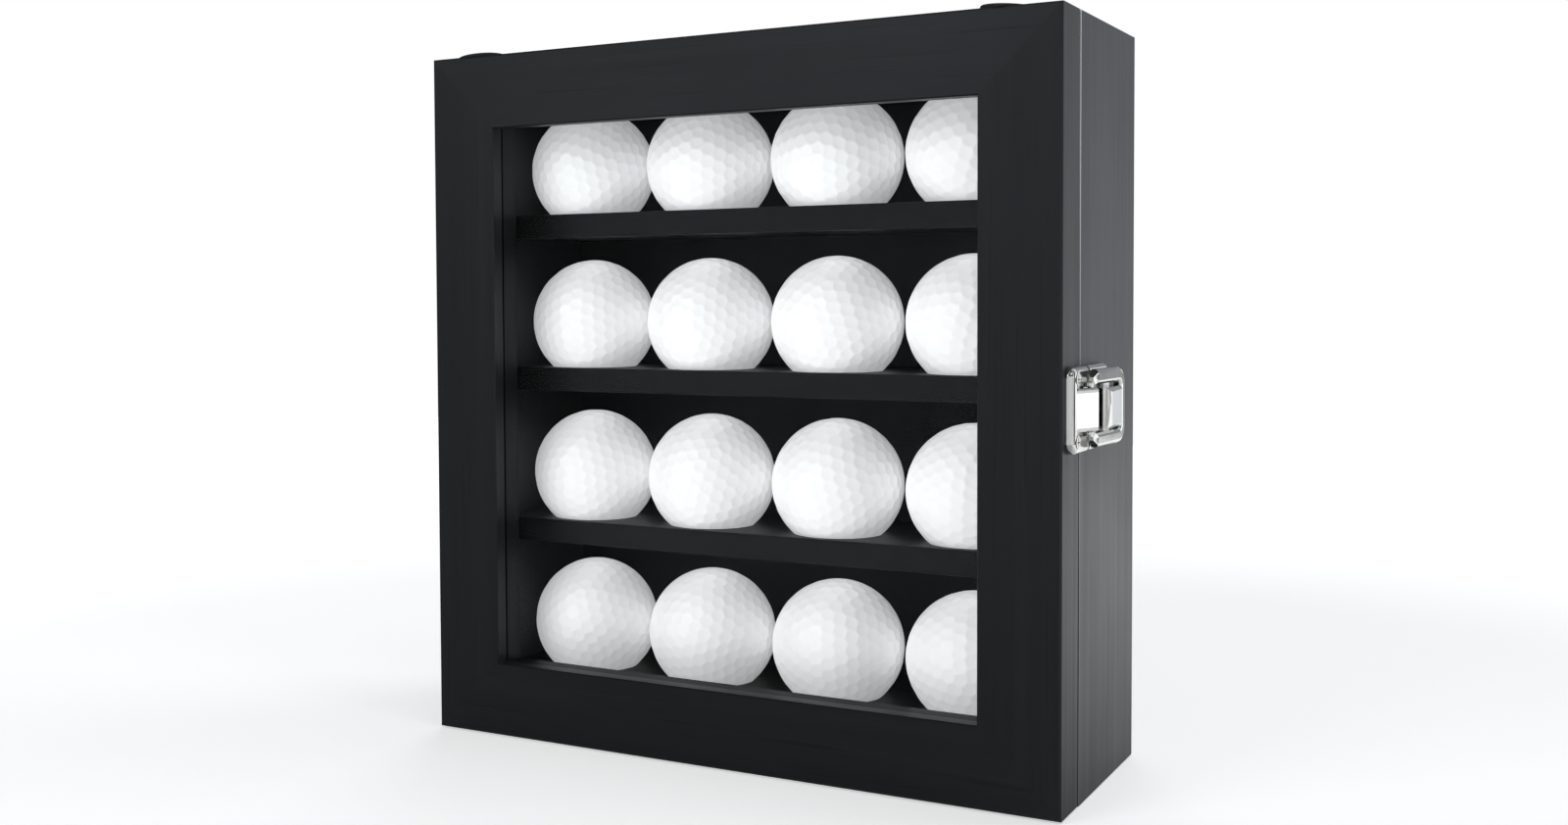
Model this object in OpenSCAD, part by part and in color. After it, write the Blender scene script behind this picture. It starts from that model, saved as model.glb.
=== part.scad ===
// Wall or shelf display case for sixteen golf balls.
// A dark painted wooden case with three drilled shelves and a drilled floor
// board stands behind a glazed door. The door hangs on two butt hinges on the
// left and is held by a ring latch on the right.
// X runs to the right, Y runs to the back, Z runs up. The origin is the middle
// of the case's bottom face. Inside the modules, positions are measured from
// the front left bottom corner and moved to the origin by place().

/* [Case] */
// Width of the case and of the door
case_w = 215; // [212:1:230]
// Height of the case
case_h = 228; // [228:1:240]
// Depth of the closed case, door included
case_d = 80; // [78:1:100]
// Thickness of the side panels
side_t = 11.5; // [10:0.5:12]
// Thickness of the top panel
top_t = 9.5; // [9:0.5:10]
// Thickness of the back panel
back_t = 5; // [4:0.5:6]

/* [Shelves] */
// Height from one ball seat board to the next
shelf_pitch = 52.4; // [52.2:0.1:52.4]
// Height of the floor board's top face
floor_top = 18.5; // [18:0.1:18.5]
// Thickness of the three shelves
shelf_t = 8; // [7:0.1:8]
// Distance of the shelf front edges behind the door's front face
shelf_front = 23.5; // [22:0.5:25]
// Radius of the round seat holes
seat_r = 14.6; // [14.6:0.1:15]

/* [Balls] */
// Diameter of a golf ball
ball_d = 42.7; // [42.67:0.01:42.75]
// Distance between neighbouring ball centres in a row
ball_pitch = 46; // [45:0.1:47]
// Distance of the ball centres behind the door's front face
ball_y = 41; // [40.5:0.1:43]

/* [Door] */
// Thickness of the door frame
door_t = 17.2; // [16:0.1:17.4]
// Visible width of the door's stiles and of its rails
frame_w = 24.3; // [22:0.1:26]
// Thickness of the glass
glass_t = 2.9; // [2:0.1:3]
// Gap between the closed door and the case
door_gap = 0.6; // [0.5:0.05:0.6]

/* [Hinges] */
// Height of one butt hinge
hinge_h = 25; // [20:1:35]
// Height of the lower hinge's middle
hinge_z = 45; // [40:1:60]

/* [Latch] */
// Height of the latch's middle
latch_z = 115.1; // [100:0.1:130]
// Height of the latch plates
latch_h = 24.6; // [24:0.1:26]

/* [Pads] */
// Diameter of a soft pad
pad_d = 16; // [12:0.5:16]
// Thickness of a soft pad
pad_t = 1.8; // [1:0.1:3]
// Thickness of the door's pads at their thin outer end
pad_thin = 0.4; // [0.2:0.1:0.9]

/* [Hidden] */
$fn = 48;
box_y = door_t + door_gap;          // front face of the case
bottom_t = floor_top - shelf_t;     // the floor board lies on the bottom panel
rebate = 6;                         // rebate that holds the back panel
dado = 3;                           // depth of the shelf housings
// a ball sinks into its hole until it touches the rim
ball_rise = sqrt(ball_d * ball_d / 4 - seat_r * seat_r) + 0.02;
lip_d = 5;                          // depth of the door's front lip
bead_y = lip_d + glass_t;           // front of the glazing beads
bead_d = 8.6;
bead_in = 1.2;                      // how far the beads stand back from the lip
rab_w = 6;                          // width of the glass rebate
shelf_tops = [for (i = [1:3]) floor_top + i * shelf_pitch];
ball_x = [for (j = [0:3]) case_w / 2 + (j - 1.5) * ball_pitch];
hinge_ax = -1.9;                    // hinge axis, left of the case
hinge_ay = door_t + door_gap / 2;
knuckle_r = 1.7;
leaf_t = 0.9;
leaf_w = 9;
hinge_zs = [hinge_z, case_h - hinge_z];
plate_h = 2.9;                      // height of the latch plates
piv_a = 13.3;                       // latch pivot, behind the door's front face
piv_c = 4.1;                        // latch pivot, out from the side face
ring_lo = 3.1;
ring_hi = 5.5;
ring_tilt = 4;                      // the closed ring rises towards the keeper's nose
hole_zs = [-0.3, 0.3];              // screw places along a hinge, as a share of it
wood = [0.09, 0.09, 0.1];
nickel = [0.78, 0.77, 0.74];

// ---- placing ----
module place() { translate([-case_w / 2, -case_d / 2, 0]) children(); }

// Lays x along the depth, y up and z out of the right side face
module on_side() {
  translate([case_w, 0, latch_z]) rotate([90, 0, 90]) children();
}

module box(a, b) { translate(a) cube([b[0] - a[0], b[1] - a[1], b[2] - a[2]]); }

// Rectangle with its own radius at the left and at the right corners
module plate2d(x0, x1, h, rl, rr) {
  union() {
    translate([x0 + rl, -h]) square([x1 - x0 - rl - rr, 2 * h]);
    translate([x0, -h + rl]) square([rl + 0.01, 2 * (h - rl)]);
    translate([x1 - rr - 0.01, -h + rr]) square([rr + 0.01, 2 * (h - rr)]);
    for (s = [-1, 1]) {
      translate([x0 + rl, s * (h - rl)]) circle(r = rl);
      translate([x1 - rr, s * (h - rr)]) circle(r = rr);
    }
  }
}

// Countersunk wood screw: head face at z = 0, pointing down
module csk_screw(head_r, shank_r, len) {
  difference() {
    union() {
      translate([0, 0, -0.8]) cylinder(h = 0.8, r1 = shank_r, r2 = head_r);
      translate([0, 0, -len + 1.2]) cylinder(h = len - 1.9, r = shank_r);
      translate([0, 0, -len]) cylinder(h = 1.21, r1 = 0.15, r2 = shank_r);
    }
    for (a = [0, 90]) rotate([0, 0, a])
      translate([-head_r * 0.62, -0.2, -0.5]) cube([head_r * 1.24, 0.4, 1]);
  }
}
// Hole for that screw in metal and wood
module csk_hole(head_r, shank_r, len) {
  translate([0, 0, -0.85]) cylinder(h = 0.9, r1 = shank_r + 0.05, r2 = head_r + 0.1);
  translate([0, 0, -len - 0.3]) cylinder(h = len, r = shank_r + 0.05);
}

// ---- places of the screws ----
module at_case_leaf_screws()
  for (z = hinge_zs, k = hole_zs)
    translate([4.8, hinge_ay + 0.1, z + k * hinge_h]) rotate([90, 0, 0]) children();
module at_door_leaf_screws()
  for (z = hinge_zs, k = hole_zs)
    translate([4.8, hinge_ay - 0.1, z + k * hinge_h]) rotate([-90, 0, 0]) children();
module at_base_screws()
  on_side() for (s = [-1, 1]) translate([5.8, s * 8.8, plate_h + 0.15]) children();
module at_keeper_screws()
  on_side() for (s = [-1, 1]) translate([36.6, s * 8.3, plate_h + 0.05]) children();

hang_z = case_h - 24;
hang_l = 45;
hang_hole = 18.8;
module at_hanger_nails()
  for (s = [-1, 1]) translate([case_w / 2 + s * hang_hole, case_d + 0.8, hang_z])
    rotate([-90, 0, 0]) children();

// ---- case ----
module leaf_pocket_case() for (z = hinge_zs)
  box([-1, box_y - 1, z - hinge_h / 2 - 0.1],
      [leaf_w + 0.1, hinge_ay + 0.1 + leaf_t, z + hinge_h / 2 + 0.1]);

module side_panel() {
  difference() {
    box([0, box_y, 0], [side_t, case_d, case_h]);
    box([side_t - rebate, case_d - back_t, rebate],
        [side_t + 1, case_d + 1, case_h - rebate]);
    for (t = shelf_tops)
      box([side_t - dado, shelf_front, t - shelf_t],
          [side_t + 1, case_d - back_t + 0.5, t]);
  }
}
module side_panel_left() {
  color(wood) place() difference() {
    side_panel();
    leaf_pocket_case();
    at_case_leaf_screws() csk_hole(1.7, 0.9, 9);
  }
}
module side_panel_right() {
  color(wood) place() difference() {
    translate([case_w, 0, 0]) mirror([1, 0, 0]) side_panel();
    at_keeper_screws() csk_hole(1.9, 1, 8.5);
  }
}
module cross_panel(z0, z1, inner_up) {
  difference() {
    box([side_t, box_y, z0], [case_w - side_t, case_d, z1]);
    box([side_t - 1, case_d - back_t, inner_up ? rebate : z0 - 1],
        [case_w - side_t + 1, case_d + 1, inner_up ? z1 + 1 : case_h - rebate]);
  }
}
module top_panel() { color(wood) place() cross_panel(case_h - top_t, case_h, false); }
module bottom_panel() { color(wood) place() cross_panel(0, bottom_t, true); }
module back_panel() {
  color(wood) place() difference() {
    box([side_t - rebate, case_d - back_t, rebate],
        [case_w - side_t + rebate, case_d, case_h - rebate]);
    at_hanger_nails() translate([0, 0, -6]) cylinder(h = 7, r = 0.85);
  }
}
module seat_board(x0, x1, z0, z1) {
  difference() {
    box([x0, shelf_front, z0], [x1, case_d - back_t, z1]);
    for (x = ball_x) translate([x, ball_y, z0 - 1]) cylinder(h = z1 - z0 + 2, r = seat_r);
  }
}
module floor_board() {
  color(wood) place() seat_board(side_t, case_w - side_t, bottom_t, floor_top);
}
module shelf(i) {
  color(wood) place() seat_board(side_t - dado, case_w - side_t + dado,
    shelf_tops[i] - shelf_t, shelf_tops[i]);
}
module shelf_lower() { shelf(0); }
module shelf_middle() { shelf(1); }
module shelf_upper() { shelf(2); }

// ---- door frame: four mitred lengths of one rebated section ----
// u runs inwards from the door's outer edge, v runs back from its front face
module frame_section() {
  polygon([[0, 0.6], [0.6, 0], [frame_w - 0.4, 0], [frame_w, 0.4],
           [frame_w, lip_d], [frame_w - rab_w, lip_d], [frame_w - rab_w, door_t],
           [0.5, door_t], [0, door_t - 0.5]]);
}
module bead_section() {
  polygon([[frame_w - rab_w, bead_y], [frame_w - bead_in, bead_y],
           [frame_w - bead_in, bead_y + bead_d - 1],
           [frame_w - bead_in - 1, bead_y + bead_d],
           [frame_w - rab_w, bead_y + bead_d]]);
}
// One side of the frame, standing along z from 0 to len, cut at 45 degrees
module mitred(len) {
  difference() {
    linear_extrude(height = len) children();
    rotate([0, -45, 0]) translate([-200, -1, -400]) cube([600, 40, 400]);
    translate([0, 0, len]) rotate([0, 45, 0]) translate([-200, -1, 0]) cube([600, 40, 400]);
  }
}
door_lo = 0.3;                      // the door hangs just clear of the table
door_hh = case_h - door_lo;
module to_right() { translate([case_w, 0, 0]) mirror([1, 0, 0]) children(); }
module as_rail() { rotate([0, -90, 0]) mirror([0, 0, 1]) children(); }

module door_stile_left() {
  color(wood) place() difference() {
    translate([0, 0, door_lo]) mitred(door_hh) frame_section();
    for (z = hinge_zs)
      box([-1, hinge_ay - 0.1 - leaf_t, z - hinge_h / 2 - 0.1],
          [leaf_w + 0.1, door_t + 1, z + hinge_h / 2 + 0.1]);
    at_door_leaf_screws() csk_hole(1.7, 0.9, 9);
  }
}
module door_stile_right() {
  color(wood) place() difference() {
    to_right() translate([0, 0, door_lo]) mitred(door_hh) frame_section();
    at_base_screws() csk_hole(1.9, 1, 9.5);
  }
}
// A rail is a stile laid over: u then runs up from the bottom edge
module rail_bar() { as_rail() mitred(case_w) children(); }
module door_rail_bottom() {
  color(wood) place() translate([0, 0, door_lo]) rail_bar() frame_section();
}
module door_rail_top() {
  color(wood) place() translate([0, 0, case_h]) mirror([0, 0, 1]) rail_bar() frame_section();
}
module glass_pane() {
  g = frame_w - rab_w + 0.7;
  color([0.8, 0.9, 0.92, 0.3]) place()
    box([g, lip_d, door_lo + g], [case_w - g, lip_d + glass_t, case_h - g]);
}
module bead_left() {
  color(wood) place() translate([0, 0, door_lo]) mitred(door_hh) bead_section();
}
module bead_right() {
  color(wood) place() to_right() translate([0, 0, door_lo]) mitred(door_hh) bead_section();
}
module bead_bottom() {
  color(wood) place() translate([0, 0, door_lo]) rail_bar() bead_section();
}
module bead_top() {
  color(wood) place() translate([0, 0, case_h]) mirror([0, 0, 1]) rail_bar() bead_section();
}

// ---- hinges ----
knuckles = 5;
kn_l = hinge_h / knuckles;
// Leaf on one side of the hinge plane: s = 1 for the case, -1 for the door
module leaf(z, s) {
  difference() {
    union() {
      box([0.35, s > 0 ? hinge_ay + 0.1 : hinge_ay - 0.1 - leaf_t, z - hinge_h / 2],
          [leaf_w, s > 0 ? hinge_ay + 0.1 + leaf_t : hinge_ay - 0.1, z + hinge_h / 2]);
      for (k = [0:knuckles - 1]) if ((s > 0) == (k % 2 == 0)) {
        translate([hinge_ax, hinge_ay, z - hinge_h / 2 + k * kn_l + 0.1])
          cylinder(h = kn_l - 0.2, r = knuckle_r);
        box([hinge_ax, s > 0 ? hinge_ay + 0.1 : hinge_ay - 0.1 - leaf_t,
             z - hinge_h / 2 + k * kn_l + 0.1],
            [0.4, s > 0 ? hinge_ay + 0.1 + leaf_t : hinge_ay - 0.1,
             z - hinge_h / 2 + (k + 1) * kn_l - 0.1]);
      }
    }
    translate([hinge_ax, hinge_ay, z - hinge_h]) cylinder(h = 2 * hinge_h, r = 0.85);
  }
}
module hinge_case_leaves() {
  color(nickel) place() difference() {
    for (z = hinge_zs) leaf(z, 1);
    at_case_leaf_screws() csk_hole(1.7, 0.9, 9);
  }
}
module hinge_door_leaves() {
  color(nickel) place() difference() {
    for (z = hinge_zs) leaf(z, -1);
    at_door_leaf_screws() csk_hole(1.7, 0.9, 9);
  }
}
module hinge_pins() {
  color(nickel) place() for (z = hinge_zs) translate([hinge_ax, hinge_ay, z]) {
    translate([0, 0, -hinge_h / 2 - 0.2]) cylinder(h = hinge_h + 0.4, r = 0.8);
    for (s = [-1, 1]) translate([0, 0, s * (hinge_h / 2 + 0.35) - 0.35])
      cylinder(h = 0.7, r = 1.45);
  }
}
module hinge_case_screws() { color(nickel) place() at_case_leaf_screws() csk_screw(1.7, 0.9, 8.5); }
module hinge_door_screws() { color(nickel) place() at_door_leaf_screws() csk_screw(1.7, 0.9, 8.5); }

// ---- latch: plate with hood on the door, ring, keeper with nose on the case ----
// Rolled rim of a pressed plate: r runs outwards to the edge
module rim_section(r) {
  polygon([[0, 0], [r, 0], [r, 1.4], [r - 0.15, 1.95], [r - 0.5, 2.42], [r - 1, 2.75],
           [r - 1.5, plate_h], [0, plate_h]]);
}
// Pressed plate from x0 to x1 with round corners of radius r at x0
module pressed(x0, x1, r) {
  w = latch_h / 2 - r;
  difference() {
    union() {
      box([x0 + r - 0.01, -w - 0.01, 0], [x1, w + 0.01, plate_h]);
      for (s = [0, 1]) mirror([0, s, 0]) {
        translate([x0 + r, w, 0]) rotate([0, 0, 90]) rotate_extrude(angle = 90) rim_section(r);
        translate([x0 + r, w, 0]) rotate([90, 0, 90])
          linear_extrude(height = x1 - x0 - r) rim_section(r);
      }
      translate([x0 + r, w, 0]) mirror([1, 0, 0]) rotate([90, 0, 0])
        linear_extrude(height = 2 * w) rim_section(r);
    }
    // the sheet is hollow below
    translate([0, 0, -0.1]) linear_extrude(height = plate_h - 0.7)
      plate2d(x0 + 0.8, x1 - 0.8, latch_h / 2 - 0.8, r - 0.8, 0.3);
  }
}
hood_w = 6.1;                       // half width of the hood
hood_up = 20.5;                     // slope of the hood
module latch_base() {
  color(nickel) place() difference() {
    on_side() difference() {
      union() {
        pressed(2.6, 16.9, 3);
        // hood that rises towards the joint, with its long edges sloped
        difference() {
          translate([0, hood_w, 0]) rotate([90, 0, 0]) linear_extrude(height = 2 * hood_w)
            polygon([[4.3, 1], [4.3, 2.95], [13.8, 6.5], [14.5, 6.3], [14.95, 5.6], [15, 1]]);
          for (s = [0, 1]) mirror([0, s, 0])
            translate([4.3, 0, 2.95]) rotate([0, -hood_up, 0]) rotate([90, 0, 90])
              translate([0, 0, -2]) linear_extrude(height = 14)
                polygon([[4.8, 0.02], [5.6, -0.3], [hood_w - 0.1, -0.8], [hood_w + 0.1, -1.3],
                         [hood_w + 0.2, 1], [4.8, 1]]);
        }
      }
      translate([0, 5.2, 0]) rotate([90, 0, 0]) linear_extrude(height = 10.4)
        polygon([[5.4, 0.5], [5.4, 2.55], [13.6, 5.6], [14.1, 5.3], [14.25, 0.5]]);
      translate([piv_a, -8, piv_c]) rotate([-90, 0, 0]) cylinder(h = 16, r = 0.67);
    }
    at_base_screws() csk_hole(2.1, 1, 9.5);
  }
}
module latch_base_screws() { color(nickel) place() at_base_screws() csk_screw(2, 1, 9); }

// Ridge section of the ring: r runs outwards, from the window edge at 0
ring_w = 4.2;
module ridge() {
  polygon([[0, ring_lo], [0, ring_hi - 0.7], [0.55, ring_hi - 0.15], [1.1, ring_hi],
           [ring_w - 1.3, ring_hi], [ring_w - 0.5, ring_hi - 0.35], [ring_w, ring_hi - 1.1],
           [ring_w, ring_lo], [ring_w - 0.75, ring_lo], [ring_w - 0.75, ring_hi - 1.3],
           [ring_w - 1.4, ring_hi - 0.85], [1.2, ring_hi - 0.85], [0.75, ring_hi - 1.1],
           [0.75, ring_lo]]);
}
module ridge_solid() {
  polygon([[0, ring_lo], [0, ring_hi - 0.7], [0.55, ring_hi - 0.15], [1.1, ring_hi],
           [ring_w - 1.3, ring_hi], [ring_w - 0.5, ring_hi - 0.35], [ring_w, ring_hi - 1.1],
           [ring_w, ring_lo]]);
}
win = 6.95;                         // half height of the ring's window
cor = 1.2;                          // inner radius of the ring's corners
bar_a = 36.9;                       // inner face of the ring's far bar
root_a = 15.6;                      // where the arms begin
module latch_ring() {
  color(nickel) place() on_side()
    translate([piv_a, 0, piv_c]) rotate([0, -ring_tilt, 0]) translate([-piv_a, 0, -piv_c]) union() {
    for (s = [0, 1]) mirror([0, s, 0]) {
      // arm, hollow below
      translate([root_a + 3.4, win, 0]) rotate([90, 0, 90])
        linear_extrude(height = bar_a - cor - root_a - 3.4) ridge();
      // corner
      translate([bar_a - cor, win - cor, 0]) rotate_extrude(angle = 90)
        translate([cor, 0]) ridge();
      // solid root of the arm, cut off aslant and sloped down
      difference() {
        translate([root_a, win, 0]) rotate([90, 0, 90]) linear_extrude(height = 3.41) ridge_solid();
        translate([root_a, win + 2, 0]) rotate([0, 0, 48]) translate([-10, 0, 0]) cube([40, 20, 20]);
        translate([root_a, 0, ring_hi - 1.1]) rotate([0, -40, 0])
          translate([-5, -1, 0]) cube([20, 20, 20]);
      }
      // eye around the axle
      translate([0, win + 0.75, 0]) rotate([90, 0, 0]) linear_extrude(height = 1.4) union() {
        translate([piv_a, piv_c]) circle(r = 1);
        polygon([[piv_a, piv_c - 1], [root_a + 0.9, ring_lo], [root_a + 0.9, 4.7],
                 [root_a - 0.6, 4.7], [piv_a + 0.4, piv_c + 0.92]]);
      }
    }
    // far bar
    translate([bar_a, win - cor, 0]) rotate([90, 0, 0]) linear_extrude(height = 2 * (win - cor)) ridge();
    // axle through the hood
    translate([piv_a, -6.8, piv_c]) rotate([-90, 0, 0]) cylinder(h = 13.6, r = 0.6);
  }
}

module nose_side(g) {
  polygon([[18.4 + g, 0.5], [18.4 + g, 7.9 - g * 0.4], [19.4 + g * 0.4, 8.9 - g],
           [31.5 - g * 0.1, 8.6 - g], [33.8 - g * 0.35, 7.9 - g * 0.95],
           [36 - g * 1.1, 6.7 - g * 0.5], [36.3 - g * 1.35, 5.6 + g * 0.3],
           [34.7 - g * 0.9, 4.4 + g * 0.6], [34.4 - g, 0.5]]);
}
module latch_keeper() {
  color(nickel) place() difference() {
    on_side() difference() {
      union() {
        translate([58.7, 0, 0]) mirror([1, 0, 0]) pressed(18.1, 40.6, 5);
        intersection() {
          translate([0, 5.85, 0]) rotate([90, 0, 0]) linear_extrude(height = 11.7) nose_side(0);
          // the nose's long edges are sloped
          translate([18, 0, 0]) rotate([90, 0, 90]) linear_extrude(height = 19)
            polygon([[-5.85, 0], [5.85, 0], [5.85, 7.4], [4.7, 9], [-4.7, 9], [-5.85, 7.4]]);
        }
      }
      intersection() {
        translate([0, 5.05, 0]) rotate([90, 0, 0]) linear_extrude(height = 10.1) nose_side(0.8);
        translate([18, 0, 0]) rotate([90, 0, 90]) linear_extrude(height = 19)
          polygon([[-5.05, 0], [5.05, 0], [5.05, 7.1], [4.3, 8.1], [-4.3, 8.1], [-5.05, 7.1]]);
      }
    }
    at_keeper_screws() csk_hole(1.9, 1, 8.5);
  }
}
module latch_keeper_screws() { color(nickel) place() at_keeper_screws() csk_screw(1.9, 1, 8); }

// ---- hanger on the back ----
module sawtooth_hanger() {
  h = 7.3; t = 0.8; up = 2.6; e = hang_l / 2;
  color(nickel) place() difference() {
    intersection() {
      translate([case_w / 2, case_d, hang_z - h / 2]) linear_extrude(height = h)
        polygon([[-e, 0], [-14.9, 0], [-11.2, up], [11.2, up], [14.9, 0], [e, 0],
                 [e, t], [15.3, t], [11.6, up + t], [-11.6, up + t], [-15.3, t], [-e, t]]);
      translate([case_w / 2, case_d + 5, hang_z]) rotate([90, 0, 0])
        linear_extrude(height = 6) plate2d(-e, e, h / 2, 1.3, 1.3);
    }
    // the teeth that hang over a nail
    for (i = [-2.5:1:2.5]) translate([case_w / 2 + i * 3.95, case_d + 5, hang_z - h / 2 - 0.55])
      rotate([90, 0, 0]) rotate([0, 0, 45]) translate([-0.95, -0.95, 0]) cube([1.9, 1.9, 5]);
    at_hanger_nails() translate([0, 0, -6]) cylinder(h = 12, r = 0.85);
  }
}
module hanger_nails() {
  color([0.2, 0.19, 0.18]) place() at_hanger_nails() {
    translate([0, 0, -5.2]) cylinder(h = 5.3, r = 0.8);
    cylinder(h = 0.7, r = 2.25);
  }
}

// ---- soft pads ----
// Round pad that gets thicker towards +x
module wedge_pad() {
  difference() {
    cylinder(h = pad_t, r = pad_d / 2);
    translate([-pad_d / 2, 0, pad_thin]) rotate([0, -atan((pad_t - pad_thin) / pad_d), 0])
      translate([-2, -20, 0]) cube([40, 40, 10]);
  }
}
module pads_door_top() {
  color([0.05, 0.05, 0.05]) place() {
    translate([14.5, door_t / 2, case_h]) wedge_pad();
    translate([case_w - 18, door_t / 2, case_h]) mirror([1, 0, 0]) wedge_pad();
  }
}
module pads_case_back() {
  color([0.05, 0.05, 0.05]) place() for (x = [pad_d / 2 + 2.1, case_w - pad_d / 2 - 2.1])
    translate([x, case_d, pad_d / 2 + 1.6]) rotate([-90, 0, 0])
      cylinder(h = pad_t, r = pad_d / 2);
}

// ---- balls: row 0 is the floor board's, column 0 is the left one ----
module ball(row, col) {
  color("white") place() translate([ball_x[col], ball_y,
    floor_top + row * shelf_pitch + ball_rise]) sphere(d = ball_d);
}
module ball_a1() { ball(3, 0); }
module ball_a2() { ball(3, 1); }
module ball_a3() { ball(3, 2); }
module ball_a4() { ball(3, 3); }
module ball_b1() { ball(2, 0); }
module ball_b2() { ball(2, 1); }
module ball_b3() { ball(2, 2); }
module ball_b4() { ball(2, 3); }
module ball_c1() { ball(1, 0); }
module ball_c2() { ball(1, 1); }
module ball_c3() { ball(1, 2); }
module ball_c4() { ball(1, 3); }
module ball_d1() { ball(0, 0); }
module ball_d2() { ball(0, 1); }
module ball_d3() { ball(0, 2); }
module ball_d4() { ball(0, 3); }

side_panel_left();
side_panel_right();
top_panel();
bottom_panel();
back_panel();
floor_board();
shelf_lower();
shelf_middle();
shelf_upper();
door_stile_left();
door_stile_right();
door_rail_top();
door_rail_bottom();
glass_pane();
bead_left();
bead_right();
bead_top();
bead_bottom();
hinge_case_leaves();
hinge_door_leaves();
hinge_pins();
hinge_case_screws();
hinge_door_screws();
latch_base();
latch_base_screws();
latch_ring();
latch_keeper();
latch_keeper_screws();
sawtooth_hanger();
hanger_nails();
pads_door_top();
pads_case_back();
ball_a1();
ball_a2();
ball_a3();
ball_a4();
ball_b1();
ball_b2();
ball_b3();
ball_b4();
ball_c1();
ball_c2();
ball_c3();
ball_c4();
ball_d1();
ball_d2();
ball_d3();
ball_d4();
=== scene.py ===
import bpy, bmesh, math
from mathutils import Vector, Matrix, Euler


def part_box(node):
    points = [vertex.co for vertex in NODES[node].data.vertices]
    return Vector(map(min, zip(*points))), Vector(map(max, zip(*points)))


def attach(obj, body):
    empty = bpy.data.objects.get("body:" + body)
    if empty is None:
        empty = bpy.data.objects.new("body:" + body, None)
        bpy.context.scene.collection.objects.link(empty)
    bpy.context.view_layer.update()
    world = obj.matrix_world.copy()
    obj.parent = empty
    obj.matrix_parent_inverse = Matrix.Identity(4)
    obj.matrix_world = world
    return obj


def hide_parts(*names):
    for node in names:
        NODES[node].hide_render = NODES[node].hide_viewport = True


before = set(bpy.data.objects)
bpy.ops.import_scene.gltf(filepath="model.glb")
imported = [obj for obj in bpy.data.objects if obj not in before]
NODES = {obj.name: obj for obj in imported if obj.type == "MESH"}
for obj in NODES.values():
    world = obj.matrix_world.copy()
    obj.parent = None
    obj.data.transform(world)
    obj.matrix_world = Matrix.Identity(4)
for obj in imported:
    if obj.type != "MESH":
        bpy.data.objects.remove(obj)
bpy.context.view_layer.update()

sc = bpy.context.scene
MM = 0.001
# millimetres from the case's front left bottom corner to the row frame
def P(x, y, z):
    return Vector(((x - 107.5) * MM, (y - 40.0) * MM, z * MM))


# ------------------------------------------------------------------ camera
cam = bpy.data.objects.new("camera", bpy.data.cameras.new("camera"))
sc.collection.objects.link(cam)
right = Vector((0.863398, 0.504474, -0.007114))
down = Vector((0.013662, -0.037472, -0.999204))
fwd = Vector((-0.504339, 0.862613, -0.039246))
m = Matrix((right, -down, -fwd)).transposed().to_4x4()
m.translation = Vector((0.235892, -0.491566, 0.149295))
cam.matrix_world = m
cam.data.sensor_width = 36.0
cam.data.sensor_fit = "HORIZONTAL"
cam.data.lens = 1685.293 / 1600.0 * 36.0
cam.data.shift_x = (800.0 - 650.1) / 1600.0
cam.data.shift_y = (363.375 - 421.0) / 1600.0
cam.data.clip_start = 0.01
sc.camera = cam


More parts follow.
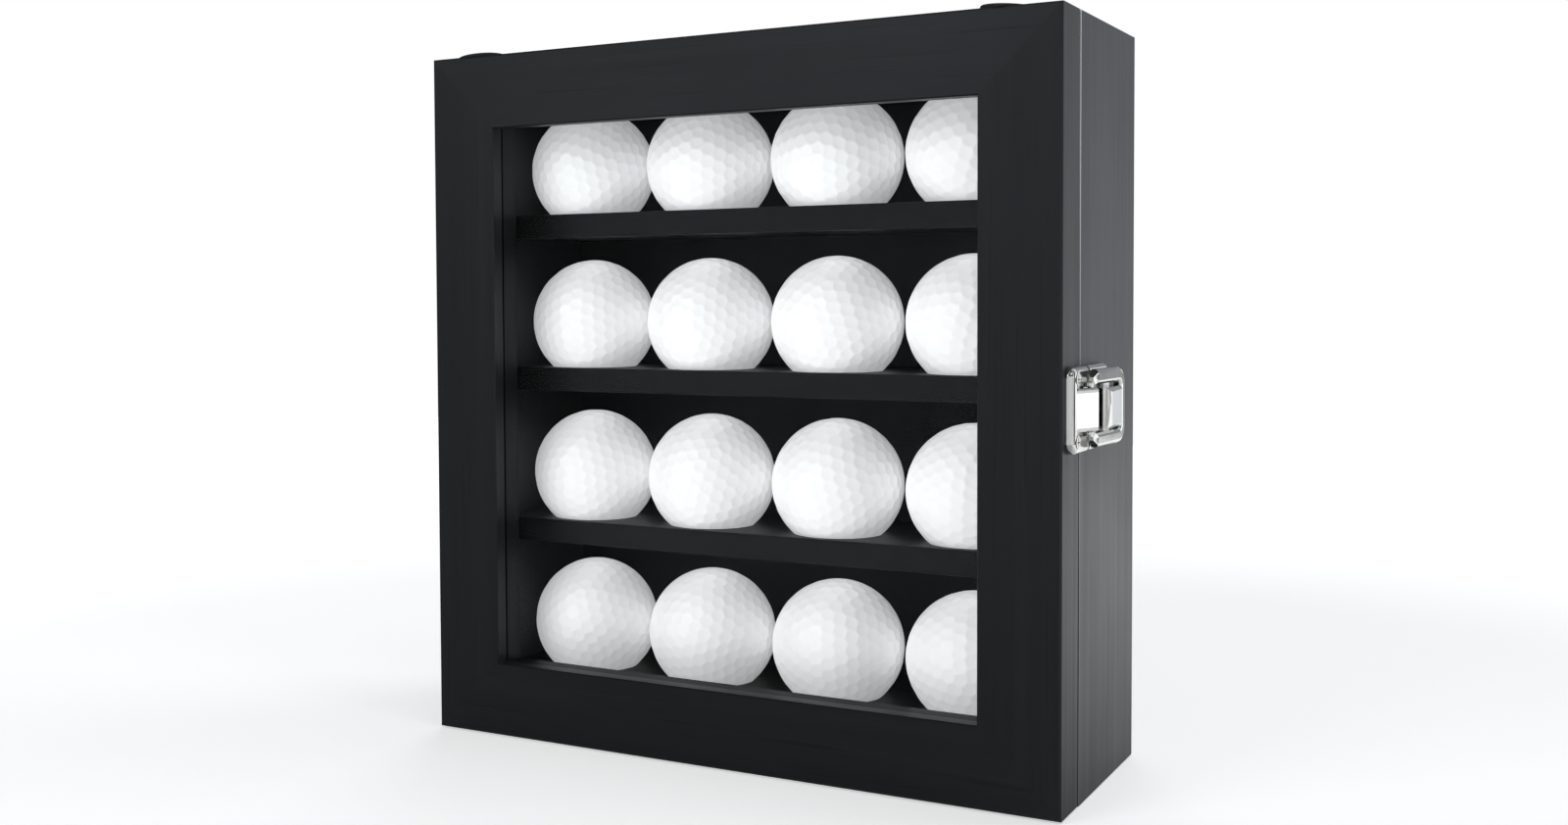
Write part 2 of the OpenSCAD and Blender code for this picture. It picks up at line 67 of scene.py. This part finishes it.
# --------------------------------------------------------------- materials
class Mat:
    """A node material with a few short helpers"""
    def __init__(self, name):
        self.mat = bpy.data.materials.new(name)
        self.mat.use_nodes = True
        self.nt = self.mat.node_tree
        self.p = self.nt.nodes["Principled BSDF"]
        self.out = self.nt.nodes["Material Output"]

    def node(self, kind, **vals):
        n = self.nt.nodes.new(kind)
        for k, v in vals.items():
            if k in n.inputs.keys():
                n.inputs[k].default_value = v
            else:
                setattr(n, k, v)
        return n

    def link(self, a, b):
        self.nt.links.new(a, b)

    def coords(self, scale, loc=(0, 0, 0), rot=(0, 0, 0)):
        tc = self.node("ShaderNodeTexCoord")
        mp = self.node("ShaderNodeMapping")
        mp.inputs["Scale"].default_value = scale
        mp.inputs["Location"].default_value = loc
        mp.inputs["Rotation"].default_value = rot
        self.link(tc.outputs["Object"], mp.inputs["Vector"])
        return mp.outputs["Vector"]

    def noise(self, vec, scale, detail=4.0, rough=0.55, dist=0.0):
        n = self.node("ShaderNodeTexNoise")
        n.inputs["Scale"].default_value = scale
        n.inputs["Detail"].default_value = detail
        n.inputs["Roughness"].default_value = rough
        n.inputs["Distortion"].default_value = dist
        self.link(vec, n.inputs["Vector"])
        return n.outputs["Fac"]

    def ramp(self, fac, stops):
        r = self.node("ShaderNodeValToRGB")
        el = r.color_ramp.elements
        while len(el) > len(stops):
            el.remove(el[-1])
        while len(el) < len(stops):
            el.new(1.0)
        for e, (pos, col) in zip(el, stops):
            e.position = pos
            e.color = (*col, 1.0) if len(col) == 3 else col
        self.link(fac, r.inputs["Fac"])
        return r.outputs["Color"]

    def remap(self, fac, a, b, lo=0.0, hi=1.0):
        r = self.node("ShaderNodeMapRange")
        r.inputs["From Min"].default_value = a
        r.inputs["From Max"].default_value = b
        r.inputs["To Min"].default_value = lo
        r.inputs["To Max"].default_value = hi
        self.link(fac, r.inputs["Value"])
        return r.outputs["Result"]

    def mixcol(self, fac, a, b, blend="MIX"):
        n = self.node("ShaderNodeMix")
        n.data_type = "RGBA"
        n.blend_type = blend
        n.clamp_factor = True
        for sock, v in ((n.inputs[0], fac), (n.inputs[6], a), (n.inputs[7], b)):
            if hasattr(v, "links") or isinstance(v, bpy.types.NodeSocket):
                self.link(v, sock)
            else:
                sock.default_value = v if not isinstance(v, tuple) or len(v) == 4 else (*v, 1.0)
        return n.outputs[2]

    def math(self, op, a, b=None):
        n = self.node("ShaderNodeMath")
        n.operation = op
        for i, v in enumerate((a, b)):
            if v is None:
                continue
            if isinstance(v, bpy.types.NodeSocket):
                self.link(v, n.inputs[i])
            else:
                n.inputs[i].default_value = v
        return n.outputs[0]

    def bump(self, height, strength, distance, normal=None):
        b = self.node("ShaderNodeBump")
        b.inputs["Strength"].default_value = strength
        b.inputs["Distance"].default_value = distance
        self.link(height, b.inputs["Height"])
        if normal is not None:
            self.link(normal, b.inputs["Normal"])
        return b.outputs["Normal"]


def painted_wood(name, along, seed, dark=1.0, spec=0.32, rough=0.46, highlight_edge_y=None):
    """Near-black stain over a fine, straight grain that runs along one axis.
    highlight_edge_y is the Y of the outer front edge behind which a painted highlight, a light grey strip,
    grows brighter towards the top"""
    M = Mat(name)
    i = "XYZ".index(along)

    def stretched(across, lengthwise, shift):
        s = [across] * 3
        s[i] = lengthwise
        return M.coords(tuple(s), loc=(seed * 3.7 + shift, seed * 1.9 - shift, seed * 5.3))
    # broad figure, fine pores and brush streaks
    figure = M.noise(stretched(60, 3.2, 0.0), 1.0, 3.0, 0.5, 0.6)
    pores = M.noise(stretched(900, 16, 2.0), 1.0, 2.0, 0.6)
    streak = M.noise(stretched(260, 6.0, 5.0), 1.0, 4.0, 0.65, 0.2)
    cloud = M.noise(M.coords((14, 14, 14), loc=(seed, seed * 2.0, 0)), 1.0, 3.0, 0.5)
    tone = M.math("MULTIPLY", figure, streak)
    d = dark
    col = M.ramp(tone, [(0.10, (0.0042 * d, 0.0044 * d, 0.0048 * d)),
                        (0.28, (0.0066 * d, 0.0069 * d, 0.0075 * d)),
                        (0.46, (0.0105 * d, 0.0110 * d, 0.0120 * d))])
    pore_mask = M.remap(pores, 0.60, 0.72)
    col = M.mixcol(pore_mask, col, (0.0032 * d, 0.0032 * d, 0.0034 * d, 1.0))
    if highlight_edge_y is not None:
        # painted highlight: a light grey strip just behind the outer front edge of the +X face, brighter
        # towards the top and broken up by the grain streaks
        xyz = M.node("ShaderNodeSeparateXYZ")
        M.link(M.coords((1, 1, 1)), xyz.inputs[0])
        highlight_mask = M.math("MULTIPLY", M.remap(xyz.outputs[1], highlight_edge_y + 0.0005, highlight_edge_y + 0.0008, 1.0, 0.0),
                      M.remap(xyz.outputs[2], 0.06, 0.17, 0.15, 1.0))
        highlight_mask = M.math("MULTIPLY", highlight_mask, M.remap(xyz.outputs[0], 0.1066, 0.1070, 0.0, 1.0))
        highlight_mask = M.math("MULTIPLY", highlight_mask, M.remap(streak, 0.3, 0.6, 0.55, 1.0))
        col = M.mixcol(highlight_mask, col, (0.44, 0.46, 0.47, 1.0))
    M.link(col, M.p.inputs["Base Color"])
    r1 = M.remap(streak, 0.25, 0.75, rough - 0.05, rough + 0.07)
    r2 = M.remap(cloud, 0.3, 0.7, -0.03, 0.03)
    M.link(M.math("ADD", r1, r2), M.p.inputs["Roughness"])
    n1 = M.bump(streak, 0.09, 0.0004)
    n2 = M.bump(M.math("SUBTRACT", 1.0, pore_mask), 0.07, 0.0003, n1)
    M.link(n2, M.p.inputs["Normal"])
    M.p.inputs["Specular IOR Level"].default_value = spec
    M.p.inputs["Specular Tint"].default_value = (0.86, 0.93, 1.0, 1.0)
    return M.mat


def polished_nickel(name, seed=0.0, rough=0.09):
    M = Mat(name)
    smear = M.noise(M.coords((90, 90, 40), loc=(seed, seed, 0)), 1.0, 4.0, 0.6, 0.4)
    speck = M.noise(M.coords((1500, 1500, 1500), loc=(seed, 1, 2)), 1.0, 2.0, 0.5)
    col = M.ramp(smear, [(0.25, (0.43, 0.425, 0.41)), (0.55, (0.50, 0.495, 0.48)), (0.85, (0.58, 0.575, 0.56))])
    M.link(col, M.p.inputs["Base Color"])
    M.p.inputs["Metallic"].default_value = 1.0
    M.link(M.remap(smear, 0.2, 0.8, rough, rough + 0.05), M.p.inputs["Roughness"])
    n = M.bump(smear, 0.035, 0.0006)
    n = M.bump(speck, 0.03, 0.00005, n)
    M.link(n, M.p.inputs["Normal"])
    return M.mat


def dark_iron(name):
    M = Mat(name)
    f = M.noise(M.coords((700, 700, 700)), 1.0, 4.0, 0.6)
    M.link(M.ramp(f, [(0.3, (0.035, 0.033, 0.031)), (0.7, (0.10, 0.095, 0.09))]), M.p.inputs["Base Color"])
    M.p.inputs["Metallic"].default_value = 0.9
    M.link(M.remap(f, 0.2, 0.8, 0.38, 0.6), M.p.inputs["Roughness"])
    M.link(M.bump(f, 0.25, 0.0001), M.p.inputs["Normal"])
    return M.mat


def ball_cover(name):
    """White plastic under a clear coat, with a painted glow that lifts its shaded parts"""
    M = Mat(name)
    cloud = M.noise(M.coords((60, 60, 60)), 1.0, 3.0, 0.5)
    fine = M.noise(M.coords((2600, 2600, 2600)), 1.0, 2.0, 0.5)
    M.link(M.ramp(cloud, [(0.3, (0.80, 0.805, 0.81)), (0.7, (0.86, 0.86, 0.86))]), M.p.inputs["Base Color"])
    M.link(M.remap(cloud, 0.3, 0.7, 0.30, 0.38), M.p.inputs["Roughness"])
    M.p.inputs["Coat Weight"].default_value = 0.35
    M.p.inputs["Coat Roughness"].default_value = 0.12
    M.p.inputs["Specular IOR Level"].default_value = 0.5
    # painted light: the cover glows, lifting the parts that the frame and shelves shade
    M.p.inputs["Emission Color"].default_value = (0.97, 0.985, 1.0, 1.0)
    # and the painted glow is weaker on faces turned towards +X, which are already bright
    side = M.node("ShaderNodeSeparateXYZ")
    M.link(M.node("ShaderNodeNewGeometry").outputs["Normal"], side.inputs[0])
    facing_x = M.math("MAXIMUM", side.outputs[0], 0.0)
    M.link(M.remap(M.math("MULTIPLY", facing_x, facing_x), 0.0, 1.0, 0.42, 0.17), M.p.inputs["Emission Strength"])
    M.link(M.bump(fine, 0.03, 0.00005), M.p.inputs["Normal"])
    return M.mat


def clear_glass(name):
    M = Mat(name)
    haze = M.noise(M.coords((25, 25, 25)), 1.0, 2.0, 0.5)
    M.p.inputs["Roughness"].default_value = 0.0
    M.link(M.ramp(haze, [(0.2, (0.985, 0.995, 0.99)), (0.8, (1.0, 1.0, 1.0))]), M.p.inputs["Base Color"])
    M.p.inputs["Transmission Weight"].default_value = 1.0
    # a low index stands for the low-reflection pane of the photograph
    M.p.inputs["IOR"].default_value = 1.09
    path = M.node("ShaderNodeLightPath")
    clear = M.node("ShaderNodeBsdfTransparent")
    mix = M.node("ShaderNodeMixShader")
    M.link(path.outputs["Is Shadow Ray"], mix.inputs[0])
    M.link(M.p.outputs["BSDF"], mix.inputs[1])
    M.link(clear.outputs["BSDF"], mix.inputs[2])
    M.link(mix.outputs["Shader"], M.out.inputs["Surface"])
    return M.mat


def foam(name):
    """Closed-cell black foam"""
    M = Mat(name)
    cells = M.node("ShaderNodeTexVoronoi")
    cells.inputs["Scale"].default_value = 1.0
    M.link(M.coords((2600, 2600, 2600)), cells.inputs["Vector"])
    f = M.noise(M.coords((500, 500, 500)), 1.0, 3.0, 0.6)
    M.link(M.ramp(f, [(0.3, (0.010, 0.010, 0.011)), (0.7, (0.020, 0.020, 0.022))]), M.p.inputs["Base Color"])
    M.link(M.remap(f, 0.3, 0.7, 0.78, 0.92), M.p.inputs["Roughness"])
    n = M.bump(cells.outputs["Distance"], 0.35, 0.00015)
    M.link(M.bump(f, 0.2, 0.0003, n), M.p.inputs["Normal"])
    return M.mat


def dress(name, mat, bevel=0.0, segments=2, angle=35.0):
    o = NODES[name]
    if not o.material_slots:
        o.data.materials.append(mat)
    for s in o.material_slots:
        s.link = "OBJECT"
        s.material = mat
    if bevel:
        w = o.modifiers.new("weld", "WELD")
        w.merge_threshold = 1e-6
        b = o.modifiers.new("bevel", "BEVEL")
        b.width = bevel * MM
        b.segments = segments
        b.limit_method = "ANGLE"
        b.angle_limit = math.radians(angle)
        b.harden_normals = False
    return o


# wood
# the outside has a little more sheen than the door and the inside; the shelves, beads and floor board are
# painted darker, painted shade inside the case, and the door's top rail a little lighter than the door, a
# painted highlight
OUT, DOOR, RAIL, BEAD = (1.0, 0.40), (1.0, 0.28), (1.04, 0.30), (0.7, 0.18)
INNER, BACK, FLOOR = (0.95, 0.14), (1.0, 0.14), (0.6, 0.08)
for i, (n, along, bevel, tone) in enumerate((
        ("side_panel_left", "Z", 0.35, OUT), ("side_panel_right", "Z", 0.35, OUT),
        ("top_panel", "X", 0.3, OUT), ("bottom_panel", "X", 0.3, OUT), ("back_panel", "Z", 0.2, BACK),
        ("floor_board", "X", 0.3, FLOOR), ("shelf_lower", "X", 0.3, INNER),
        ("shelf_middle", "X", 0.3, INNER), ("shelf_upper", "X", 0.3, INNER),
        ("door_stile_left", "Z", 0.0, DOOR), ("door_stile_right", "Z", 0.0, DOOR),
        ("door_rail_top", "X", 0.0, RAIL), ("door_rail_bottom", "X", 0.0, DOOR),
        ("bead_left", "Z", 0.0, BEAD), ("bead_right", "Z", 0.0, BEAD), ("bead_top", "X", 0.0, FLOOR),
        ("bead_bottom", "X", 0.0, FLOOR))):
    # only the right side panel gets the painted edge highlight, behind its front edge at this Y
    edge = -0.0222 if n == "side_panel_right" else None
    dress(n, painted_wood("wood_" + n, along, 1.0 + 2.31 * i, *tone, highlight_edge_y=edge), bevel)

# metal
for i, (n, bevel) in enumerate((
        ("hinge_case_leaves", 0.12), ("hinge_door_leaves", 0.12), ("hinge_pins", 0.15),
        ("hinge_case_screws", 0.0), ("hinge_door_screws", 0.0),
        ("latch_base", 0.3), ("latch_base_screws", 0.08), ("latch_ring", 0.3),
        ("latch_keeper", 0.3), ("latch_keeper_screws", 0.08), ("sawtooth_hanger", 0.15))):
    dress(n, polished_nickel("nickel_" + n, i * 1.7), bevel)
dress("hanger_nails", dark_iron("iron_nails"), 0.2)
dress("glass_pane", clear_glass("glass_clear"), 0.25)


# -------------------------------------------------------------- golf balls
def geodesic(freq):
    """Unit sphere points and faces of an icosahedron cut freq times along each edge"""
    g = (1 + 5 ** 0.5) / 2
    v = [Vector(p).normalized() for p in (
        (-1, g, 0), (1, g, 0), (-1, -g, 0), (1, -g, 0), (0, -1, g), (0, 1, g),
        (0, -1, -g), (0, 1, -g), (g, 0, -1), (g, 0, 1), (-g, 0, -1), (-g, 0, 1))]
    faces = [(0, 11, 5), (0, 5, 1), (0, 1, 7), (0, 7, 10), (0, 10, 11), (1, 5, 9), (5, 11, 4),
             (11, 10, 2), (10, 7, 6), (7, 1, 8), (3, 9, 4), (3, 4, 2), (3, 2, 6), (3, 6, 8),
             (3, 8, 9), (4, 9, 5), (2, 4, 11), (6, 2, 10), (8, 6, 7), (9, 8, 1)]
    verts, index, out = [], {}, []

    def arc(a, b, t):
        w = a.angle(b)
        return (a * math.sin((1 - t) * w) + b * math.sin(t * w)) / math.sin(w) if w > 1e-9 else a.copy()

    def put(p):
        key = (round(p.x, 5), round(p.y, 5), round(p.z, 5))
        if key not in index:
            index[key] = len(verts)
            verts.append(p)
        return index[key]
    for a, b, c in faces:
        A, B, C = v[a], v[b], v[c]
        rows = []
        for i in range(freq + 1):
            row = []
            for j in range(i + 1):
                # a point at barycentric steps, averaged over three arcs so that cells stay even
                u, w, t = freq - i, i - j, j
                pts = []
                for X, Y, Z, x, y, z in ((A, B, C, u, w, t), (B, C, A, w, t, u), (C, A, B, t, u, w)):
                    if y + z == 0:
                        pts.append(X)
                    else:
                        pts.append(arc(X, arc(Y, Z, z / (y + z)), (y + z) / freq))
                row.append(put((pts[0] + pts[1] + pts[2]).normalized()))
            rows.append(row)
        for i in range(freq):
            for j in range(i + 1):
                out.append((rows[i][j], rows[i + 1][j], rows[i + 1][j + 1]))
                if j < i:
                    out.append((rows[i][j], rows[i + 1][j + 1], rows[i][j + 1]))
    return verts, out


def dimpled_mesh(name, radius, freq=6, depth=0.00026, arc_steps=3, rings=(0.8, 0.45)):
    """Golf ball: a rounded six-sided bowl round each point of a coarse geodesic, with
    thin ridges between the bowls"""
    centres, faces = geodesic(freq)
    pts, tris = [], []

    def put(direction, sink):
        pts.append(direction * (radius - sink))
        return len(pts) - 1

    sector = {}                     # rim points of a from its way to b round to the next

    def rim(a, b, c, f):
        A, B, C = centres[a], centres[b], centres[c]
        tb = (B - A * A.dot(B)).normalized()
        tc = (C - A * A.dot(C)).normalized()
        w = tb.angle(tc)
        t = (tb * math.sin((1 - f) * w) + tc * math.sin(f * w)) / math.sin(w)
        # way to the ridge between two bowls, with the corners rounded off
        flat = min(A.angle(B) / math.cos(f * w), A.angle(C) / math.cos((1 - f) * w)) / 2
        return t.normalized(), 0.97 * (0.6 * flat + 0.4 * min(flat, A.angle(B) / 2, A.angle(C) / 2))

    def at(a, t, far):
        return centres[a] * math.cos(far) + t * math.sin(far)
    around = [{} for _ in centres]
    for f in faces:
        for k in range(3):
            a, b, c = f[k], f[(k + 1) % 3], f[(k + 2) % 3]
            around[a][b] = c
    loops = []
    for a in range(len(centres)):
        start = next(iter(around[a]))
        b, ring = start, []
        while True:
            c = around[a][b]
            for k in range(arc_steps):
                ring.append((b, c, k / arc_steps))
            b = c
            if b == start:
                break
        dirs = [rim(a, b, c, f) for b, c, f in ring]
        outer = [put(at(a, t, far), 0.0) for t, far in dirs]
        for i, (b, c, f) in enumerate(ring):
            if f == 0:
                sector[(a, b)] = [outer[(i + k) % len(outer)] for k in range(arc_steps + 1)]
        previous = outer
        for q in rings:
            inner = [put(at(a, t, far * q), depth * (1 - q * q)) for t, far in dirs]
            n = len(inner)
            for i in range(n):
                j = (i + 1) % n
                tris.append((previous[i], previous[j], inner[j]))
                tris.append((previous[i], inner[j], inner[i]))
            previous = inner
        middle = put(centres[a], depth)
        for i in range(len(previous)):
            tris.append((previous[i], previous[(i + 1) % len(previous)], middle))
    for a, b, c in faces:
        g = put((centres[b] - centres[a]).cross(centres[c] - centres[a]).normalized(), 0.0)
        edge = (sector[(a, b)] + sector[(c, a)] + sector[(b, c)])[::-1]
        for i in range(len(edge)):
            tris.append((g, edge[i], edge[(i + 1) % len(edge)]))
    me = bpy.data.meshes.new(name)
    me.from_pydata([tuple(p) for p in pts], [], tris)
    me.update()
    for f in me.polygons:
        f.use_smooth = True
    return me


cover = ball_cover("ball_cover")
ball_meshes = []
for k in range(4):
    me = dimpled_mesh("golf_ball_%d" % k, 0.021345)
    me.transform(Euler((0.9 * k + 0.3, 1.7 * k + 0.8, 0.6 * k * k), "XYZ").to_matrix().to_4x4())
    me.materials.append(cover)
    ball_meshes.append(me)
for r, row in enumerate("abcd"):
    for c in (1, 2, 3, 4):
        node = "ball_%s%d" % (row, c)
        lo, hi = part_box(node)
        o = bpy.data.objects.new("golf_" + node, ball_meshes[(r + c) % 4])
        sc.collection.objects.link(o)
        # each ball lies turned another way
        rot = Matrix.Rotation(math.pi / 2 * ((r * 3 + c) % 4), 4, "Z")
        o.matrix_world = Matrix.Translation((Vector(lo) + Vector(hi)) / 2) @ rot
        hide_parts(node)
        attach(o, node + "_body")


# --------------------------------------------------------------- soft pads
def lathe(bm, profile, centre, seg=64):
    """Closed solid of revolution about +Z; profile runs from the axis round to the axis"""
    rings = []
    for r, z in profile:
        if r < 1e-7:
            rings.append([bm.verts.new(centre + Vector((0, 0, z)))])
        else:
            rings.append([bm.verts.new(centre + Vector((r * math.cos(2 * math.pi * k / seg),
                                                        r * math.sin(2 * math.pi * k / seg), z)))
                          for k in range(seg)])
    for a, b in zip(rings, rings[1:]):
        for k in range(seg):
            k2 = (k + 1) % seg
            q = [a[k % len(a)], a[k2 % len(a)], b[k2 % len(b)], b[k % len(b)]]
            q = [x for n, x in enumerate(q) if x not in q[:n]]
            if len(q) > 2:
                bm.faces.new(q)
    bmesh.ops.recalc_face_normals(bm, faces=bm.faces)


foam_mat = foam("foam_black")
for node, body, spots in (
        ("pads_door_top", "door", (P(14.5, 8.6, 228.0), P(197.0, 8.6, 228.0))),
        ("pads_case_back", "case", (P(10.1, 80.0, 9.6), P(204.9, 80.0, 9.6)))):
    bm = bmesh.new()
    R, T = 7.98 * MM, 1.78 * MM
    prof = [(0, 0), (R - 0.5 * MM, 0), (R - 0.12 * MM, 0.10 * MM), (R, 0.45 * MM),
            (R, T - 0.75 * MM), (R - 0.10 * MM, T - 0.42 * MM), (R - 0.35 * MM, T - 0.18 * MM),
            (R - 0.75 * MM, T - 0.07 * MM), (R - 1.6 * MM, T - 0.03 * MM), (R * 0.5, T - 0.005 * MM), (0, T)]
    for c in spots:
        n0 = len(bm.verts)
        lathe(bm, prof, Vector((0, 0, 0)))
        bm.verts.ensure_lookup_table()
        turn = Matrix.Rotation(math.radians(-90), 3, "X") if body == "case" else Matrix.Identity(3)
        for v in bm.verts[n0:]:
            if body == "door":
                # the pads on top thin out towards the door's corners
                u = (1 if c.x < 0 else -1) * v.co.x / (8 * MM)
                v.co.z *= (1.1 + 0.7 * u) / 1.8
            v.co = turn @ v.co + c
    me = bpy.data.meshes.new("soft_" + node)
    bm.to_mesh(me)
    bm.free()
    me.materials.append(foam_mat)
    for f in me.polygons:
        f.use_smooth = True
    o = bpy.data.objects.new("soft_" + node, me)
    sc.collection.objects.link(o)
    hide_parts(node)
    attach(o, body)


# ------------------------------------------------------- floor and lights
def stage_plane():
    M = Mat("floor_pale")
    f = M.noise(M.coords((3, 3, 3)), 1.0, 2.0, 0.5)
    M.link(M.ramp(f, [(0.3, (0.86, 0.86, 0.865)), (0.7, (0.88, 0.88, 0.88))]), M.p.inputs["Base Color"])
    M.p.inputs["Roughness"].default_value = 0.9
    M.p.inputs["Specular IOR Level"].default_value = 0.1
    M.p.inputs["Emission Color"].default_value = (1, 1, 1, 1)
    # the floor runs out into the white behind it
    away = M.node("ShaderNodeVectorMath", operation="LENGTH")
    M.link(M.coords((1, 1, 1)), away.inputs[0])
    M.link(M.remap(away.outputs["Value"], 0.35, 1.0, 0.5, 1.0), M.p.inputs["Emission Strength"])
    # in reflections and bounced light the floor is dim in front and glows at the right rear: a painted pool of
    # light, no lamp
    path = M.node("ShaderNodeLightPath")
    dim = M.node("ShaderNodeBsdfPrincipled")
    dim.inputs["Base Color"].default_value = (0.85, 0.85, 0.855, 1)
    dim.inputs["Roughness"].default_value = 1.0
    dim.inputs["Specular IOR Level"].default_value = 0.0
    dim.inputs["Emission Color"].default_value = (1, 1, 1, 1)
    where = M.node("ShaderNodeSeparateXYZ")
    M.link(M.coords((1, 1, 1)), where.inputs[0])
    M.link(M.remap(M.math("ADD", where.outputs[0], where.outputs[1]), 0.0, 0.5, 0.0, 1.05), dim.inputs["Emission Strength"])
    mix = M.node("ShaderNodeMixShader")
    M.link(M.math("MAXIMUM", path.outputs["Is Camera Ray"], path.outputs["Is Transmission Ray"]), mix.inputs[0])
    M.link(dim.outputs["BSDF"], mix.inputs[1])
    M.link(M.p.outputs["BSDF"], mix.inputs[2])
    M.link(mix.outputs["Shader"], M.out.inputs["Surface"])
    me = bpy.data.meshes.new("floor")
    s = 1.1
    me.from_pydata([(-s, -s, 0), (s, -s, 0), (s, s, 0), (-s, s, 0)], [], [(0, 1, 2, 3)])
    me.materials.append(M.mat)
    o = bpy.data.objects.new("floor", me)
    o.location.z = -0.0004
    sc.collection.objects.link(o)


stage_plane()


def area(name, loc, target, size, power, size_y=None, colour=(1, 1, 1)):
    d = bpy.data.lights.new(name, "AREA")
    d.energy = power
    d.color = colour
    d.shape = "RECTANGLE"
    d.size = size
    d.size_y = size_y or size
    o = bpy.data.objects.new(name, d)
    sc.collection.objects.link(o)
    o.location = loc
    o.visible_transmission = False
    o.rotation_mode = "QUATERNION"
    o.rotation_quaternion = (Vector(target) - Vector(loc)).to_track_quat("-Z", "Y")
    return o


area("key", (0.75, -1.15, 1.35), (0, 0, 0.11), 0.9, 3)
area("front", (0.85, -1.6, 0.15), (0, 0, 0.13), 2.2, 6.5, size_y=0.9)
area("high_left", (-0.75, -1.55, 0.85), (0, 0, 0.17), 0.8, 7.5)

# the studio's walls by compass direction: soft boxes at the right and behind, dim
# in front on the left, and dark screens between them that give metal its contrast
WALLS = ((-180, 0.25), (-140, 0.22), (-112, 0.16), (-107, 0.9), (-100, 1.1), (-93, 0.12),
         (-60, 0.1), (-30, 0.12), (-23, 1.7), (-8, 1.7), (0, 0.12), (16, 0.12),
         (24, 2.4), (52, 2.4), (58, 1.6), (62, 0.38), (70, 0.38), (73, 1.0), (79, 1.0),
         (83, 0.35), (90, 0.4), (96, 2.0), (122, 2.0), (135, 0.3), (180, 0.25))
TOP = 2.5
world = bpy.data.worlds.new("studio")
sc.world = world
world.use_nodes = True
wn = world.node_tree
bg = wn.nodes["Background"]


def wnode(kind, **ins):
    n = wn.nodes.new(kind)
    for k, v in ins.items():
        setattr(n, k, v)
    return n


def wmath(op, a, b=None):
    n = wnode("ShaderNodeMath", operation=op)
    for i, v in enumerate((a, b)):
        if isinstance(v, bpy.types.NodeSocket):
            wn.links.new(v, n.inputs[i])
        elif v is not None:
            n.inputs[i].default_value = v
    return n.outputs[0]


def smooth(value, a, b, lo, hi):
    r = wnode("ShaderNodeMapRange", interpolation_type="SMOOTHSTEP")
    for k, v in (("From Min", a), ("From Max", b), ("To Min", lo), ("To Max", hi)):
        r.inputs[k].default_value = v
    wn.links.new(value, r.inputs["Value"])
    return r.outputs["Result"]


wtc = wnode("ShaderNodeTexCoord")
wxyz = wnode("ShaderNodeSeparateXYZ")
wn.links.new(wtc.outputs["Generated"], wxyz.inputs[0])
turn = wmath("ARCTAN2", wxyz.outputs[1], wxyz.outputs[0])
turn = wmath("MULTIPLY_ADD", turn, 1 / (2 * math.pi))
turn.node.inputs[2].default_value = 0.5
wramp = wnode("ShaderNodeValToRGB")
el = wramp.color_ramp.elements
while len(el) < len(WALLS):
    el.new(1.0)
for e, (deg, v) in zip(el, WALLS):
    e.position = (deg + 180) / 360
    e.color = (v / TOP, v / TOP, v / TOP, 1)
wn.links.new(turn, wramp.inputs["Fac"])
wall = wmath("MULTIPLY", wramp.outputs["Color"], TOP)
wall = wmath("MULTIPLY", wall, smooth(wxyz.outputs[2], -0.35, 0.0, 0.6, 1.0))
wall = wmath("MULTIPLY", wall, smooth(wxyz.outputs[2], -0.05, 0.3, 1.25, 0.55))
lp = wnode("ShaderNodeLightPath")
# the view through the pane is as white as the view past it
through = wmath("MULTIPLY", lp.outputs["Is Transmission Ray"],
                wmath("LESS_THAN", lp.outputs["Diffuse Depth"], 0.5))
seen = wmath("MAXIMUM", lp.outputs["Is Camera Ray"], through)
wm = wnode("ShaderNodeMix")
wn.links.new(seen, wm.inputs[0])
wn.links.new(wall, wm.inputs[2])
wm.inputs[3].default_value = 1.0
wn.links.new(wm.outputs[0], bg.inputs["Strength"])
# cool daylight on the object, plain white behind it
tint = wnode("ShaderNodeMix", data_type="RGBA")
wn.links.new(seen, tint.inputs[0])
tint.inputs[6].default_value = (0.93, 0.965, 1.0, 1)
tint.inputs[7].default_value = (1, 1, 1, 1)
wn.links.new(tint.outputs[2], bg.inputs["Color"])
sc.view_settings.view_transform = "Standard"
